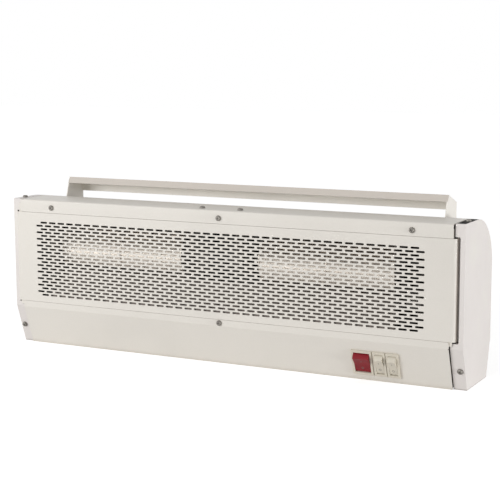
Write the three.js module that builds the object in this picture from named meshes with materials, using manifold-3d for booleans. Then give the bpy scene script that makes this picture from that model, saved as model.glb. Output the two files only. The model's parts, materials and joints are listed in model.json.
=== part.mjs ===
// Over-door air curtain, 600 mm wide: a folded sheet-metal casing with a perforated intake panel,
// two cross-flow impellers on one shaft with the motor between them, tubular heating elements over
// the bottom outlet, three rocker switches on the sloping apron and a bar to hang it by.
// Millimetres. X runs along the width, Y from the front panel to the wall, Z up.

import * as THREE from 'three';
import { mergeGeometries, mergeVertices } from 'three/addons/utils/BufferGeometryUtils.js';
import Module from 'manifold-3d';

const wasm = await Module();
wasm.setup();

// ---------------------------------------------------------------- driving dimensions

// Casing
const width = 600;
const height = 188;
const depth = 103;
const sheet = 1;
const gap = 0.3;
const gridStep = 1 / 4096;
const backRadius = 55;
const backArcSteps = 12;
const rearSlantHeight = 45;
const rearSlantRun = 13;
const rearLip = 7;
const bendRadius = 2;
const bandHeight = 16;
const bandEnd = 12.6; // from the end of the unit to the end of the top band
const apronEnd = { left: 13, right: 15.3 }; // and to the ends of the apron

// End caps
const capWidth = 11.2;
const capSetback = 3;
const capWall = 2;
const capPlate = 2.5;
const grooveRim = 5.3;
const grooveDepth = 10;
const grooveEndMargin = 1.8;
const grooveCorner = 1.6;
const pocketDepth = 2.4;
const pocketFrontY = 6;
const pocketRearY = 54.3;
const pocketRim = 0.8;
const inletRadius = 3.2;
const inletY = 18;
const earHalf = 9;

// Intake panel
const grilleRightEnd = 9; // its left side is pushed up against the left cap's rim
const grilleReturn = 9;
const grilleBend = 3.5;
const upperLapHeight = 11;
const lowerLapHeight = 5;
const slotRowPitch = 4.24;
const slotPitch = 13;
const slotLength = 9.5;
const slotHeight = 2.3;
const slotMargin = { left: 42.9, right: 48, low: 8.3, high: 12.1 }; // from the panel's edges
const slotStep = 2; // every second row, and every second slot in it, is cut here

// Apron
const apronBendZ = 49;
const apronFlange = 8;
const apronRun = 17;
const apronHem = 7;
const hemInset = 9;
const notchSize = 1.4;
const notchHalf = 0.5;

// Outlet panel
const outletFrontY = 21;
const outletRearInset = 15.5; // from the back of the unit
const outletUpturn = 8;
const outletSlotWidth = 12;
const outletSlotPitch = 18;
const outletSlotMargin = 6; // from the duct's walls

// Fan
const leftBay = 57.5; // from the end of the unit to the impeller's bulkhead
const rightBay = 81;
const fanY = 50;
const fanDrop = 63;
const motorBay = 105; // between the two impellers
const impellerRadius = 30;
const bladeCount = 14;
const bladeInnerRadius = 23.5;
const bladeThickness = 1.2;
const bladeSweep = 34;
const discThickness = 1.5;
const discSides = 14;
const hubRadius = 8;
const hubLength = 9;
const shaftRadius = 4;
const shaftOverhang = 9;
const bulkheadGap = 3.5;
const bushRadius = 13;
const bushLip = 2.5;
const switchBayY = 38;

// Air duct
const scrollStart = 78;
const scrollEnd = 200;
const scrollInnerGap = 3.5;
const scrollBackGap = 2.5;
const scrollSteps = 9;
const scrollFlange = 8;
const scrollKneeInset = 10.5; // from the back of the unit
const scrollKneeZ = 60;
const scrollFootInset = 18;
const tongueFootY = 44;
const tongueKneeY = 40;
const tongueKneeZ = 62;
const tongueNoseY = 26.5;
const tongueNoseZ = 94.5;
const tongueNoseRadius = 4;
const tongueFrontZ = 66;

// Motor
const stackLength = 30;
const stackRadius = 27;
const stackBore = 16;
const poleCount = 8;
const poleSlotDepth = 5;
const bellRadius = 28;
const bellDepth = 15;
const bellWall = 1.5;
const bellSides = 14;
const bossRadius = 10;
const bossLength = 5;
const coilLength = 10;
const coilInnerRadius = 17.5;
const coilOuterRadius = 25;
const coilEase = 2;
const coilSides = 12;
const rotorRadius = 15;
const bearingWall = 2.4;
const bearingSides = 12;
const bearingOverhang = 2.5;
const shaftEase = 0.8;
const shaftSides = 12;
const rotorSides = 16;
const mountSheet = 1.5;
const mountScrewX = 8.15; // centre of the two mount screws, from the motor's centre
const mountScrewSpan = 51;
const mountScrewY = 12;
const mountFlangeFrontY = 5;
const mountFlangeRearY = 34;
const mountEdge = 7;
const cheekTangent = Math.PI / 12;
const cheekRing = 5;
const cheekFrontY = 6;
const cheekFlare = 18; // height of the cheek's full-width top

// Heating elements
const elementRadius = 3.5;
const elementSides = 8;
const supportRise = 10; // of the support's top over the elements
const elementBend = 11;
const elementEnd = 14;
const elementLowZ = 34;
const elementPitch = 17;
const elementTail = 16;

// Rocker switches, placed on the apron's slope
const switchSlope = 28; // from the apron's bend down to the middle of the switches
const switchLength = 31;
const bezelHeight = 2;
const bezelBorder = 2.6;
const switchDepth = 20;
const switchWall = 1.4;
const rockerRadius = 12.6;
const rockerTipAngle = 53;
const rockerTilt = 16;
const rockerPivotDepth = 5.5; // below the bezel's face
const rockerDish = 1.4;
const rockerHeel = 2;
const trunnionRadius = 1.4;
const trunnionSkin = 0.5; // of the box's wall outside the trunnion's blind hole
const switchFloor = 3;
const terminal = { width: 4.8, thickness: 0.8, length: 7, pitch: 8 };
const switches = [
  { name: 'main', x: 179.8, width: 25, paint: 'red' },
  { name: 'fan', x: 201, width: 15, paint: 'cream' },
  { name: 'heat', x: 217, width: 15, paint: 'cream' },
];

// Wiring, on the right bulkhead
const terminalBlockSize = { thick: 17, long: 36, high: 20, pitch: 11, boreRadius: 2.4 };
const terminalBlockPlace = { y: 40, z: 80 };
const cutoutSize = { radius: 8, high: 6, capRadius: 6.5, capHigh: 3, step: 1 };
const cutoutPlace = { rearInset: 25, z: 72 };

// Hanging bar
const barEnd = { left: 37.4, right: 43.4 }; // from the ends of the unit to the outside of the legs
const barSheet = 1.5;
const barFootInset = 38; // from the back of the unit
const barShoulder = { inset: 32.5, rise: 15.6 }; // rises are from the unit's top
const barCrest = { inset: 28.5, rise: 23 };
const barRearRise = { top: 12, bottom: 2.5 };
const tabAngles = [58, 30];
const tabLength = 16;
const tabWidth = 14;

// Fasteners
const screwHeadRadius = 3.3;
const screwHeadHeight = 2.1;
const screwCrownShare = 0.75; // the head's flat top against its rim
const screwShankRadius = 1.7;
const screwLength = 4.5;
const screwSides = 6;
const bandScrewInset = 60; // from the ends of the unit
const bandScrewDrop = 9.3;
const middleScrewX = -1;
const capLowScrewZ = 23;
const capScrewReach = 3.5; // of the screw's shank behind the cap's wall
const capTopScrewY = { left: 20, right: 31 };

// ---------------------------------------------------------------- derived places

const half = width / 2;
const bandX = half - bandEnd;
const apronX = { left: half - apronEnd.left, right: half - apronEnd.right };
const capInnerX = half - capWidth;
const archY = depth - backRadius;
const archZ = height - backRadius;
const bandZ = height - bandHeight;
const apronTopZ = apronBendZ + apronFlange;
const grilleX = { left: half - grooveRim - gap, right: half - grilleRightEnd };
const apronAngle = Math.atan2(apronRun, apronBendZ);
const bulkheadX = { left: leftBay - half, right: half - rightBay };
const fanX = (bulkheadX.left + bulkheadX.right) / 2;
const fanZ = height - fanDrop;
const impellerLength = (bulkheadX.right - bulkheadX.left - motorBay) / 2 - bulkheadGap;
const outletRearY = depth - outletRearInset;
const scrollKneeY = depth - scrollKneeInset;
const scrollFootY = depth - scrollFootInset;
const scrollFirstRadius = impellerRadius + scrollInnerGap + sheet;
const scrollGrowth = depth - sheet - scrollBackGap - fanY - scrollFirstRadius;
const ductMiddleY = (tongueFootY + scrollFootY) / 2;
const elementY = [ductMiddleY - elementPitch / 2, ductMiddleY + elementPitch / 2];
const endPlateX = {
  left: Math.min(apronX.left, bandX) - sheet - gap,
  right: Math.min(apronX.right, bandX) - sheet - gap,
};
const lapY = sheet + gap;
const capMiddleX = (capInnerX + half - capPlate) / 2;
const barX = { left: half - barEnd.left, right: half - barEnd.right };
const barGapRadius = backRadius + gap;

// ---------------------------------------------------------------- materials

const finish = (color, roughness, metalness) =>
  new THREE.MeshStandardMaterial({ color, roughness, metalness, flatShading: true });
const materials = {
  paint: finish(0xe2ddd4, 0.5, 0.1),
  plastic: finish(0xe6e3de, 0.45, 0),
  galvanised: finish(0xa8abad, 0.4, 0.8),
  steel: finish(0x8f9294, 0.35, 0.9),
  aluminium: finish(0xc9cbcc, 0.35, 0.8),
  lamination: finish(0x6c6f73, 0.5, 0.7),
  copper: finish(0xa9683c, 0.4, 0.7),
  element: finish(0x5c5a55, 0.45, 0.6),
  rubber: finish(0x3a3a3a, 0.85, 0),
  bronze: finish(0xa88a55, 0.4, 0.8),
  ceramic: finish(0xdedbd2, 0.6, 0),
  red: finish(0xa02a34, 0.35, 0),
  cream: finish(0xe2dfcf, 0.4, 0),
};

// ---------------------------------------------------------------- profiles

const at = (y, z) => new THREE.Vector2(y, z);

// Points on an arc, angles in degrees.
function arc(centre, radius, from, to, steps) {
  return Array.from({ length: steps + 1 }, (_, i) => {
    const angle = THREE.MathUtils.degToRad(from + ((to - from) * i) / steps);
    return at(centre.x + radius * Math.cos(angle), centre.y + radius * Math.sin(angle));
  });
}

// The path moved sideways to the right of its direction, with mitred corners.
function offset(path, distance, closed = false) {
  const last = path.length - 1;
  return path.map((point, i) => {
    const before = i > 0 ? path[i - 1] : closed ? path[last] : null;
    const after = i < last ? path[i + 1] : closed ? path[0] : null;
    const into = before ? point.clone().sub(before).normalize() : null;
    const out = after ? after.clone().sub(point).normalize() : into;
    const first = into ?? out;
    const mitre = at(first.y + out.y, -first.x - out.x);
    return point.clone().addScaledVector(mitre, distance / (1 + first.dot(out)));
  });
}

// A bent sheet's section: the outer path, with its thickness on the right-hand side.
const foldedSection = (path, thickness = sheet) => [...path, ...offset(path, thickness).reverse()];

// The unit's side outline, with its front face at a given Y. Clockwise, seen from the left end.
const sideOutline = (frontY) => [
  at(frontY, apronBendZ),
  at(frontY, height),
  ...arc(at(archY, archZ), backRadius, 90, 0, backArcSteps),
  at(depth, rearSlantHeight),
  at(depth - rearSlantRun, 0),
  at(frontY + apronRun, 0),
];

// The inside of the casing, less a gap, for plates that stand in it from front to back.
function innerOutline() {
  const outline = offset(sideOutline(0), sheet + gap, true);
  const frontY = 2 * (sheet + gap);
  outline[0] = at(frontY, apronBendZ);
  outline[1] = at(frontY, height - sheet - gap);
  return outline;
}

// ---------------------------------------------------------------- solids

// Coordinates on a fine grid, so that faces meant to meet do, shared vertices joined and collapsed
// triangles dropped.
function weld(geometry) {
  const bare = geometry.clone();
  bare.deleteAttribute('normal');
  bare.deleteAttribute('uv');
  const { array } = bare.attributes.position;
  array.forEach((value, i) => { array[i] = Math.round(value / gridStep) * gridStep; });
  const merged = mergeVertices(bare, 1e-4);
  const index = merged.index.array;
  const kept = [];
  for (let i = 0; i < index.length; i += 3) {
    const [a, b, c] = index.subarray(i, i + 3);
    if (a !== b && b !== c && c !== a) kept.push(a, b, c);
  }
  merged.setIndex(kept);
  return merged;
}

function solid(geometry) {
  const { attributes, index } = weld(geometry);
  const vertProperties = Float32Array.from(attributes.position.array);
  const triVerts = Uint32Array.from(index.array);
  return new wasm.Manifold(new wasm.Mesh({ numProp: 3, vertProperties, triVerts }));
}

function fromSolid(body) {
  const mesh = body.getMesh();
  const geometry = new THREE.BufferGeometry();
  geometry.setAttribute('position', new THREE.BufferAttribute(mesh.vertProperties, 3));
  geometry.setIndex(Array.from(mesh.triVerts));
  geometry.computeVertexNormals();
  return geometry;
}

const joined = (...parts) => parts.reduce((all, part) => all.add(part));
const cut = (body, ...tools) => tools.reduce((left, tool) => left.subtract(tool), body);

const axes = (x, y, z) => new THREE.Matrix4().makeBasis(x, y, z);
const unitX = new THREE.Vector3(1, 0, 0);
const unitY = new THREE.Vector3(0, 1, 0);
const unitZ = new THREE.Vector3(0, 0, 1);

function extrusion(shape, length, curveSegments = 6) {
  const solidShape = Array.isArray(shape) ? new THREE.Shape(shape) : shape;
  return new THREE.ExtrudeGeometry(solidShape, { depth: length, bevelEnabled: false, curveSegments });
}

// A (Y, Z) section drawn out along X between two places.
function alongX(section, fromX, toX) {
  const low = Math.min(fromX, toX);
  const geometry = extrusion(section, Math.abs(toX - fromX));
  return geometry.applyMatrix4(axes(unitY, unitZ, unitX)).translate(low, 0, 0);
}

// An (X, Y) section drawn out along Z.
const alongZ = (section, fromZ, toZ) => extrusion(section, toZ - fromZ).translate(0, 0, fromZ);

function block(fromX, toX, fromY, toY, fromZ, toZ) {
  const geometry = new THREE.BoxGeometry(Math.abs(toX - fromX), toY - fromY, toZ - fromZ);
  return geometry.translate((fromX + toX) / 2, (fromY + toY) / 2, (fromZ + toZ) / 2);
}

// A turned piece on the X axis: its profile runs from low to high X as [radius, x].
function turned(profile, sides) {
  const geometry = new THREE.LatheGeometry(profile.map(([r, x]) => at(r, x)), sides);
  return geometry.rotateZ(-Math.PI / 2);
}

// A rod along a direction, centred on a point.
function rod(radius, length, centre, direction, sides = screwSides) {
  const geometry = new THREE.CylinderGeometry(radius, radius, length, sides);
  const turn = new THREE.Quaternion().setFromUnitVectors(unitY, direction);
  return geometry.applyQuaternion(turn).translate(centre.x, centre.y, centre.z);
}

const ringX = (outer, inner, fromX, toX, sides) =>
  turned([[inner, fromX], [outer, fromX], [outer, toX], [inner, toX], [inner, fromX]], sides);

const slopeOut = new THREE.Vector3(0, -Math.cos(apronAngle), -Math.sin(apronAngle));
const front = new THREE.Vector3(0, -1, 0);
const up = unitZ;

// Every screw: where its head seats, which way the head faces and how long its shank is.
const screws = [];
function addScrew(name, seat, direction, length) {
  screws.push({ name, seat, direction, length });
  return solid(rod(screwShankRadius + gap, 2 * length, seat, direction));
}

// ---------------------------------------------------------------- screw places

const bandHoles = [bandScrewInset - half, middleScrewX, half - bandScrewInset].map((x, i) =>
  addScrew(`screw_band_${i + 1}`, new THREE.Vector3(x, 0, height - bandScrewDrop), front, screwLength));
const apronHole = addScrew(
  'screw_apron', new THREE.Vector3(middleScrewX, 0, apronBendZ + apronFlange / 2), front, screwLength);
const motorX = fanX + mountScrewX;
const mountHoles = [-1, 1].map((side, i) => {
  const seat = new THREE.Vector3(motorX + (side * mountScrewSpan) / 2, mountScrewY, height);
  return addScrew(`screw_motor_${i + 1}`, seat, up, screwLength);
});
const tabHoles = [];
for (const [name, side] of [['left', -1], ['right', 1]]) {
  tabAngles.forEach((degrees, i) => {
    const angle = THREE.MathUtils.degToRad(degrees);
    const outward = new THREE.Vector3(0, Math.cos(angle), Math.sin(angle));
    const seat = outward.clone().multiplyScalar(barGapRadius + barSheet);
    seat.add(new THREE.Vector3(side * (barX[name] - barSheet - tabWidth / 2), archY, archZ));
    tabHoles.push(addScrew(`screw_bar_${name}_${i + 1}`, seat, outward, screwLength + barSheet));
  });
}

// ---------------------------------------------------------------- casing

function casingShell() {
  const path = [
    at(0, bandZ),
    ...arc(at(bendRadius, height - bendRadius), bendRadius, 180, 90, 3),
    ...arc(at(archY, archZ), backRadius, 90, 0, backArcSteps),
    at(depth, rearSlantHeight),
    at(depth - rearSlantRun, 0),
    at(depth - rearSlantRun - rearLip, 0),
  ];
  const shell = solid(alongX(foldedSection(path), -bandX, bandX));
  return fromSolid(cut(shell, ...bandHoles, ...mountHoles, ...tabHoles));
}

function intakeGrille() {
  const bottom = apronTopZ + gap;
  const top = bandZ - gap;
  const [left, right] = [-grilleX.left, grilleX.right];
  const plan = [
    at(left, grilleReturn),
    ...arc(at(left + grilleBend, grilleBend), grilleBend, 180, 270, 4),
    ...arc(at(right - grilleBend, grilleBend), grilleBend, 270, 360, 4),
    at(right, grilleReturn),
  ];
  const tray = solid(alongZ(foldedSection(plan, -sheet), bottom, top));
  const lowerLap = [at(lapY, bottom - lowerLapHeight), at(lapY, bottom), at(sheet / 2, bottom)];
  const upperLap = [at(sheet / 2, top), at(lapY, top), at(lapY, top + upperLapHeight)];
  const lapInset = grilleBend + gap;
  const laps = [lowerLap, upperLap].map((lap) =>
    solid(alongX(foldedSection(lap), left + lapInset, right - lapInset)));
  const rows = Math.floor((top - bottom - slotMargin.low - slotMargin.high) / slotRowPitch) + 1;
  const columns = Math.floor((right - left - slotMargin.left - slotMargin.right) / slotPitch) + 1;
  const slots = [];
  for (let row = 0; row < rows; row += slotStep) {
    const z = top - slotMargin.high - row * slotRowPitch;
    for (let column = (row / slotStep) % slotStep; column < columns; column += slotStep) {
      const x = left + slotMargin.left + column * slotPitch;
      slots.push(new THREE.BoxGeometry(slotLength, 4 * sheet, slotHeight).translate(x, 0, z));
    }
  }
  const panel = joined(tray, ...laps);
  return fromSolid(cut(panel, solid(mergeGeometries(slots)), ...bandHoles, apronHole));
}

function apron() {
  const foot = at(apronRun, 0);
  const bend = at(0, apronBendZ);
  const [left, right] = [-apronX.left, apronX.right];
  const face = solid(alongX(foldedSection([foot, bend, at(0, apronTopZ)]), left, right));
  const hemPath = [at(apronRun + apronHem, 0), foot, bend];
  const hem = solid(alongX(foldedSection(hemPath), left + hemInset, right - hemInset));
  const notches = [left, right].flatMap((edge) => [apronBendZ, apronTopZ].map((z) =>
    solid(block(edge - notchSize, edge + notchSize, -1, 2 * sheet, z - notchHalf, z + notchHalf))));
  const cutouts = switches.map(({ x, width: bezelWidth }) => {
    const slotWidth = bezelWidth - 2 * bezelBorder + 2 * switchWall + 2 * gap;
    const slotDrop = switchLength - 2 * bezelBorder + 2 * switchWall + 2 * gap;
    const opening = new THREE.BoxGeometry(slotWidth, 8 * sheet, slotDrop).translate(x, 0, -switchSlope);
    return solid(opening.rotateX(apronAngle).translate(0, 0, apronBendZ));
  });
  return fromSolid(cut(joined(face, hem), ...notches, ...cutouts, apronHole));
}

function outletGrille() {
  const low = sheet + gap;
  const path = [
    at(outletRearY, low + outletUpturn),
    at(outletRearY, low),
    at(outletFrontY, low),
    at(outletFrontY, low + outletUpturn),
  ];
  const [left, right] = [sheet + gap - endPlateX.left, endPlateX.right - sheet - gap];
  const panel = solid(alongX(foldedSection(path), left, right));
  const slotFrontY = tongueFootY + outletSlotMargin;
  const slotRearY = scrollFootY - outletSlotMargin;
  const span = bulkheadX.right - bulkheadX.left - 2 * outletSlotWidth;
  const count = Math.floor(span / outletSlotPitch);
  const middle = (bulkheadX.left + bulkheadX.right) / 2;
  const slots = Array.from({ length: count }, (_, i) => {
    const x = middle + (i - (count - 1) / 2) * outletSlotPitch;
    const side = outletSlotWidth / 2;
    return block(x - side, x + side, slotFrontY, slotRearY, 0, low + 2 * sheet);
  });
  return fromSolid(cut(panel, solid(mergeGeometries(slots))));
}

// ---------------------------------------------------------------- ends

// How far below the unit's top the end cap's top wall lies where its screw goes through.
const capTopDrop = { left: 0, right: pocketDepth };

function capScrewSeats(name, side) {
  const x = side * (capInnerX + half) / 2;
  const top = new THREE.Vector3(x, capTopScrewY[name], name === 'left' ? height : height - gap);
  const lowY = capSetback + ((apronBendZ - capLowScrewZ) * apronRun) / apronBendZ;
  return { top, low: new THREE.Vector3(x, lowY, capLowScrewZ) };
}

const capHoles = {};
for (const [name, side] of [['left', -1], ['right', 1]]) {
  const seats = capScrewSeats(name, side);
  capHoles[name] = [
    addScrew(`screw_cap_top_${name}`, seats.top, up, capTopDrop[name] + capWall + capScrewReach),
    addScrew(`screw_cap_low_${name}`, seats.low, slopeOut, capWall + capScrewReach),
  ];
}

// A moulded tray over each end. Its front has a groove beside the intake panel's folded side.
function endCap(name, side) {
  const inner = side * capInnerX;
  const outline = sideOutline(capSetback);
  const body = solid(alongX(outline, inner, side * half));
  const cavityEnd = side * (half - capPlate);
  const cavity = solid(alongX(offset(outline, capWall, true), inner - side, cavityEnd));
  const grooveTop = bandZ + grooveEndMargin - gap;
  const grooveBottom = apronTopZ - grooveEndMargin;
  const grooveFloorY = capSetback + grooveDepth;
  const backing = solid(block(inner - side, cavityEnd, 0, grooveFloorY + capWall,
    grooveBottom - capWall, grooveTop + capWall));
  const grooveEdge = side * (half - grooveRim);
  const inset = side * grooveCorner;
  const slot = new THREE.Shape();
  slot.moveTo(inner - side, grooveBottom);
  slot.lineTo(grooveEdge - inset, grooveBottom);
  slot.quadraticCurveTo(grooveEdge, grooveBottom, grooveEdge, grooveBottom + grooveCorner);
  slot.lineTo(grooveEdge, grooveTop - grooveCorner);
  slot.quadraticCurveTo(grooveEdge, grooveTop, grooveEdge - inset, grooveTop);
  slot.lineTo(inner - side, grooveTop);
  slot.closePath();
  const groove = extrusion(slot, grooveFloorY + 1, 3).rotateX(Math.PI / 2).translate(0, grooveFloorY, 0);
  const flangeX = side * (apronX[name] + gap);
  const flangePath = [at(capSetback + apronRun, 0), at(capSetback, apronBendZ), at(capSetback, grooveBottom)];
  const flange = solid(alongX(foldedSection(flangePath, capWall), flangeX, inner + side * gap));
  let hollow = cavity.subtract(backing);
  const cuts = [solid(groove), ...capHoles[name]];
  if (name === 'right') {
    const bay = [pocketFrontY - capWall, pocketRearY + capWall];
    const ceiling = height - pocketDepth - capWall;
    hollow = hollow.subtract(solid(block(inner - side, cavityEnd, ...bay, ceiling, height)));
    const floorZ = height - pocketDepth;
    const pocketEnd = half - pocketRim;
    cuts.push(solid(block(inner - side, pocketEnd, pocketFrontY, pocketRearY, floorZ, height + 1)));
    cuts.push(solid(rod(inletRadius, 20, new THREE.Vector3(capMiddleX, inletY, height), up, 12)));
  }
  return fromSolid(joined(cut(body, hollow, ...cuts), flange));
}

// The steel plate that closes the casing behind each cap, with two ears for the cap's screws.
function endPlate(name, side) {
  const inner = side * (endPlateX[name] - sheet);
  const outer = side * endPlateX[name];
  const plate = solid(alongX(innerOutline(), inner, outer));
  const reach = side * (half - capPlate - gap);
  const earTop = height - capTopDrop[name] - capWall - gap;
  const topY = capTopScrewY[name];
  const topEar = solid(block(inner, reach, topY - earHalf, topY + earHalf, earTop - sheet, earTop));
  const seat = capScrewSeats(name, side).low;
  const lowEar = block(inner, reach, capWall + gap, capWall + gap + sheet, -earHalf, earHalf);
  lowEar.rotateX(apronAngle).translate(0, seat.y, seat.z);
  return fromSolid(cut(joined(plate, topEar, solid(lowEar)), ...capHoles[name]));
}

// A rubber plate in the right cap's top pocket, with the blind inlet for the supply cable.
function cableSeal() {
  const low = height - pocketDepth + gap;
  const high = height - gap;
  const reach = half - pocketRim - gap;
  const plate = solid(block(capInnerX, reach, pocketFrontY + gap, pocketRearY - gap, low, high));
  const inlet = rod(inletRadius - 1, pocketDepth, new THREE.Vector3(capMiddleX, inletY, high), up, 12);
  return fromSolid(cut(plate, solid(inlet), capHoles.right[0]));
}

// ---------------------------------------------------------------- hanging bar

function hangingBar() {
  const footAngle = THREE.MathUtils.radToDeg(Math.acos((depth - barFootInset - archY) / barGapRadius));
  const heelAngle = THREE.MathUtils.radToDeg(Math.acos(backRadius / barGapRadius));
  const shoulder = at(depth - barShoulder.inset, height + barShoulder.rise);
  const crest = at(depth - barCrest.inset, height + barCrest.rise);
  const rear = at(depth, height + barRearRise.top);
  const rearFoot = at(depth, height + barRearRise.bottom);
  const leg = [shoulder, crest, rear, ...arc(at(archY, archZ), barGapRadius, heelAngle, footAngle, 8)];
  const channel = foldedSection([shoulder, crest, rear, rearFoot], barSheet);
  const parts = [solid(alongX(channel, -barX.left, barX.right))];
  for (const [side, reach] of [[-1, barX.left], [1, barX.right]]) {
    parts.push(solid(alongX(leg, side * (reach - barSheet), side * reach)));
    for (const degrees of tabAngles) {
      const tab = block(-tabWidth - barSheet, 0, -tabLength / 2, tabLength / 2, 0, barSheet);
      tab.translate(side > 0 ? reach : -reach + tabWidth + barSheet, 0, barGapRadius);
      tab.rotateX(THREE.MathUtils.degToRad(degrees - 90));
      parts.push(solid(tab.translate(0, archY, archZ)));
    }
  }
  return fromSolid(cut(joined(...parts), ...tabHoles));
}

// ---------------------------------------------------------------- air duct

// A plate across the casing at each end of the fan. It carries a rubber bush and the duct's ends.
function bulkhead(name, side) {
  const x = bulkheadX[name];
  const plate = solid(alongX(innerOutline(), x, x + side * sheet));
  const holes = [solid(rod(bushRadius, 10, new THREE.Vector3(x, fanY, fanZ), unitX, 16))];
  if (name === 'right') {
    for (const y of elementY) {
      for (const z of [elementLowZ, elementLowZ + 2 * elementBend]) {
        holes.push(solid(rod(elementRadius + gap, 10, new THREE.Vector3(x, y, z), unitX, elementSides)));
      }
    }
  }
  const floor = [x - 5, x + 5, outletFrontY - gap, outletRearY + gap, -1, outletSeatZ()];
  const upturnTop = outletSeatZ() + outletUpturn;
  const rearSlit = [x - 5, x + 5, outletRearY - sheet - gap, outletRearY + gap, 0, upturnTop];
  const switchBay = [x - 5, x + 5, 0, switchBayY, -1, apronTopZ];
  for (const space of [floor, rearSlit, switchBay]) holes.push(solid(block(...space)));
  return fromSolid(cut(plate, ...holes));
}

const outletSeatZ = () => 2 * sheet + 2 * gap;

// The rear wall of the duct: it hangs from the top, curls round the impellers and runs to the outlet.
function scrollPath() {
  const centre = at(fanY, fanZ);
  const curl = Array.from({ length: scrollSteps + 1 }, (_, i) => {
    const share = i / scrollSteps;
    const angle = 180 - (scrollStart + (scrollEnd - scrollStart) * share);
    return arc(centre, scrollFirstRadius + scrollGrowth * share, angle, angle, 1)[0];
  });
  const flangeZ = height - sheet - gap;
  return [
    at(curl[0].x - scrollFlange, flangeZ),
    at(curl[0].x, flangeZ),
    ...curl,
    at(scrollKneeY, scrollKneeZ),
    at(scrollFootY, outletSeatZ()),
  ];
}

// The front wall of the duct: a rounded nose close to the impellers and a skirt to the front panel.
function tonguePath() {
  const nose = at(tongueNoseY, tongueNoseZ);
  const frontY = 2 * (sheet + gap) + sheet;
  return [
    at(tongueFootY, outletSeatZ()),
    at(tongueKneeY, tongueKneeZ),
    ...arc(nose, tongueNoseRadius, 15, 140, 4),
    at(frontY, tongueFrontZ),
    at(frontY, apronTopZ + sheet + 2 * gap),
  ];
}

function ductWall(path) {
  const from = bulkheadX.left + gap;
  const to = bulkheadX.right - gap;
  return alongX(foldedSection(path), from, to);
}

// ---------------------------------------------------------------- heating

// A hairpin along X: two straight legs and a half-round bend at its far end.
class Hairpin extends THREE.Curve {
  constructor(y, farX, nearX) {
    super();
    const middleZ = elementLowZ + elementBend;
    const bend = arc(at(farX + elementBend, middleZ), elementBend, 270, 90, 8);
    this.stations = [at(nearX, elementLowZ), ...bend, at(nearX, middleZ + elementBend)];
    this.y = y;
  }

  getPoint(t, target = new THREE.Vector3()) {
    const last = this.stations.length - 1;
    const place = Math.min(Math.max(t, 0), 1) * last;
    const i = Math.min(Math.floor(place), last - 1);
    const point = this.stations[i].clone().lerp(this.stations[i + 1], place - i);
    return target.set(point.x, this.y, point.y);
  }

  getPointAt(t, target) {
    return this.getPoint(t, target);
  }

  getTangentAt(t, target) {
    return this.getTangent(t, target);
  }
}

function heatingElement(y) {
  const path = new Hairpin(y, bulkheadX.left + elementEnd, bulkheadX.right + elementTail);
  const lastAngle = 360 - 360 / elementSides;
  const section = new THREE.Shape(arc(at(0, 0), elementRadius, 0, lastAngle, elementSides - 1));
  return weld(new THREE.ExtrudeGeometry(section, {
    steps: path.stations.length - 1,
    extrudePath: path,
    bevelEnabled: false,
  }));
}

// A plate across the duct in the middle of the hairpins' length.
function elementSupport() {
  const scroll = offset(scrollPath(), sheet + gap);
  const tongue = offset(tonguePath(), sheet + gap);
  const top = elementLowZ + 2 * elementBend + supportRise;
  const rearKnee = scroll[scroll.length - 2];
  const rearFoot = scroll[scroll.length - 1];
  const outline = [at(tongue[0].x, outletSeatZ()), at(tongue[1].x, tongue[1].y), at(tongue[1].x, top),
    at(rearKnee.x, top), at(rearKnee.x, rearKnee.y), at(rearFoot.x, outletSeatZ())];
  const plate = solid(alongX(outline, fanX - sheet / 2, fanX + sheet / 2));
  const holes = elementY.flatMap((y) => [elementLowZ, elementLowZ + 2 * elementBend].map((z) =>
    solid(rod(elementRadius + gap, 10, new THREE.Vector3(fanX, y, z), unitX, elementSides))));
  return fromSolid(cut(plate, ...holes));
}

// ---------------------------------------------------------------- impellers

// One forward-curved blade's section, in the (Y, Z) plane around the axis.
function bladeSection(turn) {
  const chord = [0, 0.5, 1].map((share) => {
    const radius = bladeInnerRadius + (impellerRadius - 0.4 - bladeInnerRadius) * share;
    const sweep = bladeSweep * share * share * (impellerRadius - bladeInnerRadius) / impellerRadius;
    const angle = THREE.MathUtils.degToRad(turn + sweep);
    return at(radius * Math.cos(angle), radius * Math.sin(angle));
  });
  return foldedSection(chord, bladeThickness);
}

function impeller() {
  const end = impellerLength / 2;
  const discs = [-end, -discThickness / 2, end - discThickness].map((x) =>
    solid(ringX(impellerRadius, shaftRadius + gap, x, x + discThickness, discSides)));
  const hubs = [[-end, -end + hubLength], [end - hubLength, end]].map(([from, to]) =>
    solid(ringX(hubRadius, shaftRadius + gap, from, to, discSides)));
  const inner = end - discThickness / 2;
  const blades = Array.from({ length: bladeCount }, (_, i) =>
    solid(alongX(bladeSection((360 * i) / bladeCount), -inner, inner)));
  return fromSolid(joined(...discs, ...hubs, ...blades));
}

// ---------------------------------------------------------------- motor

// Built about the fan's axis, with the motor's centre at X = 0.
function statorStack() {
  const shape = new THREE.Shape(arc(at(0, 0), stackRadius, 0, 345, 23));
  const bore = [];
  for (let pole = 0; pole < poleCount; pole += 1) {
    const start = (360 * pole) / poleCount;
    const wide = 360 / poleCount / 4;
    bore.push(...arc(at(0, 0), stackBore, start - wide, start + wide, 2));
    bore.push(...arc(at(0, 0), stackBore + poleSlotDepth, start + wide, start + 3 * wide, 2));
  }
  shape.holes.push(new THREE.Path(bore));
  return alongX(shape, -stackLength / 2, stackLength / 2);
}

function winding(side) {
  const near = side * (stackLength / 2 + gap);
  const far = near + side * coilLength;
  const [low, high] = [Math.min(near, far), Math.max(near, far)];
  const [inside, outside] = [coilInnerRadius, coilOuterRadius];
  const shoulder = outside - coilEase;
  return turned([[inside, low], [shoulder, low], [outside, low + coilEase],
    [outside, high - coilEase], [shoulder, high], [inside, high], [inside, low]], coilSides);
}

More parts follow.
